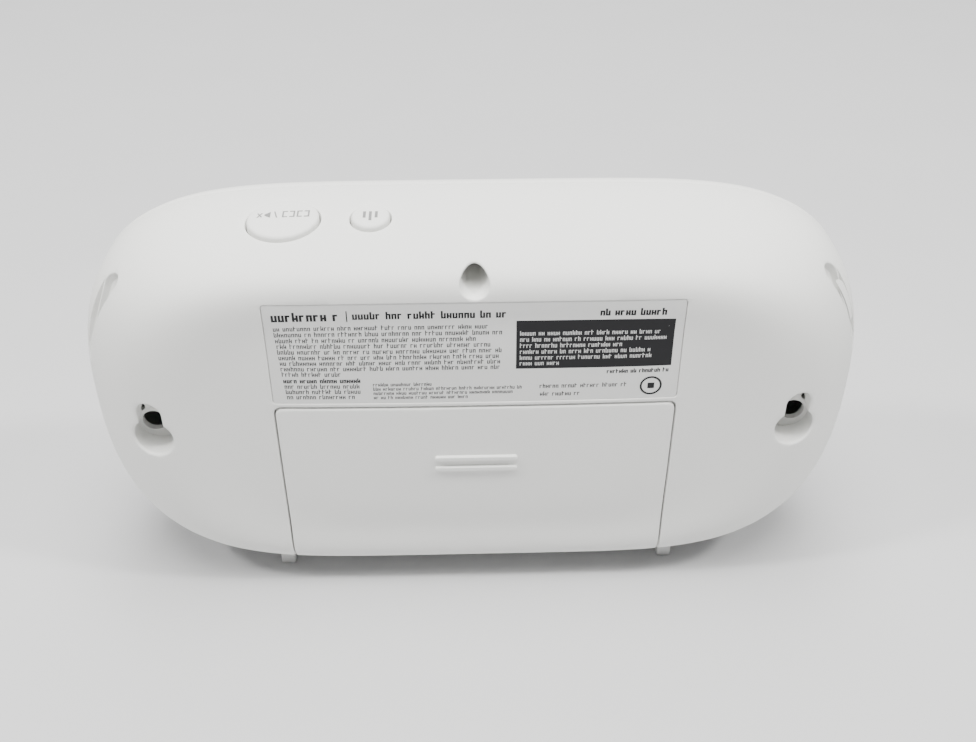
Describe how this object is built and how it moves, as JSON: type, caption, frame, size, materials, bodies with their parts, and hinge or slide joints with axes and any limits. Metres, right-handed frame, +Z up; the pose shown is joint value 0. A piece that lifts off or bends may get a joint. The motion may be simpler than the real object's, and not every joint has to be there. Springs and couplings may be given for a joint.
{
  "type": "carbon monoxide detector",
  "caption": "Battery carbon monoxide alarm with a rounded white case, rear battery door, hanging holes, top buttons and a front display.",
  "frame": {"origin": "on the surface the feet stand on, under the middle of the case's box", "axes": "+Z up, +X along the case's length, +Y out of the wall side with the label, door and hanging holes; the display side faces -Y"},
  "size_m": [0.136, 0.0359, 0.0704],
  "materials": {
    "case_white": "fine satin moulded ABS",
    "window_smoke": "clear polished acrylic with a dark tint",
    "label_paper": "matt printed film",
    "cell_sleeve": "printed sleeve over steel can",
    "spring_nickel": "nickel plated",
    "ribbon_red": "woven pull ribbon",
    "button_white": "fine satin moulded ABS",
    "board_green": "solder mask over glass fibre",
    "chip_black": "moulded epoxy",
    "filter_white": "porous membrane cap",
    "steel_zinc": "zinc plated",
    "display_glass": "liquid crystal glass",
    "frame_black": "moulded black plastic",
    "light_white": "reflective white plastic",
    "strip_grey": "layered elastic strip",
    "clear_plastic": "frosted light pipe",
    "lamp_clear": "lamp chip",
    "sounder_black": "moulded black plastic",
    "brass": "plain brass",
    "foam_grey": "closed cell foam",
    "mesh_grey": "fine woven mesh",
    "sensor_steel": "drawn stainless can",
    "tin": "tinned sheet",
    "copper": "enamelled copper wire",
    "aluminium": "capacitor can",
    "ferrite": "sintered ferrite"
  },
  "bodies": {
    "case": {"rear_housing": "case_white", "front_cover": "case_white", "display_window": "window_smoke", "rating_label": "label_paper", "battery_upper": "cell_sleeve", "battery_lower": "cell_sleeve", "positive_contact": "spring_nickel", "negative_contact": "spring_nickel", "bridge_contact": "spring_nickel", "contact_springs": "spring_nickel", "pull_ribbon": "ribbon_red", "switch_board": "board_green", "test_switch": "chip_black", "peak_switch": "chip_black", "main_board": "board_green", "case_screws": "steel_zinc", "board_screws": "steel_zinc", "display_panel": "display_glass", "display_frame": "frame_black", "light_box": "light_white", "display_strips": "strip_grey", "light_pipe": "clear_plastic", "indicator_lamp": "lamp_clear", "sounder_cup": "sounder_black", "sounder_disc": "brass", "sounder_seal": "foam_grey", "vent_meshes": "mesh_grey", "gas_sensor": "sensor_steel", "filter_cap": "filter_white", "sensor_pins": "tin", "radio_board": "board_green", "radio_shield": "tin", "aerial_coil": "copper", "control_chip": "chip_black", "crystal_can": "tin", "capacitors": "aluminium", "sounder_choke": "ferrite", "chip_resistors": "chip_black"},
    "door": {"battery_door": "case_white"},
    "test_button": {"test_button": "button_white"},
    "peak_button": {"peak_button": "button_white"},
    "test_plunger": {"test_plunger": "filter_white"},
    "peak_plunger": {"peak_plunger": "filter_white"}
  },
  "joints": [
    {"name": "door_slide", "type": "slide", "parent": "case", "child": "door", "axis": [0, 0, -1], "range_m": [0, 0.04]},
    {"name": "test_press", "type": "slide", "parent": "case", "child": "test_button", "axis": [0, 0, -1], "range_m": [0, 0.0005], "stiffness_N_per_m": 3000},
    {"name": "peak_press", "type": "slide", "parent": "case", "child": "peak_button", "axis": [0, 0, -1], "range_m": [0, 0.0005], "stiffness_N_per_m": 3000},
    {"name": "test_plunger_press", "type": "slide", "parent": "case", "child": "test_plunger", "axis": [0, 0, -1], "range_m": [0, 0.0005]},
    {"name": "peak_plunger_press", "type": "slide", "parent": "case", "child": "peak_plunger", "axis": [0, 0, -1], "range_m": [0, 0.0005]}
  ],
  "couplings": [
    {"joint": "test_plunger_press", "follows": "test_press", "ratio": 1},
    {"joint": "peak_plunger_press", "follows": "peak_press", "ratio": 1}
  ]
}
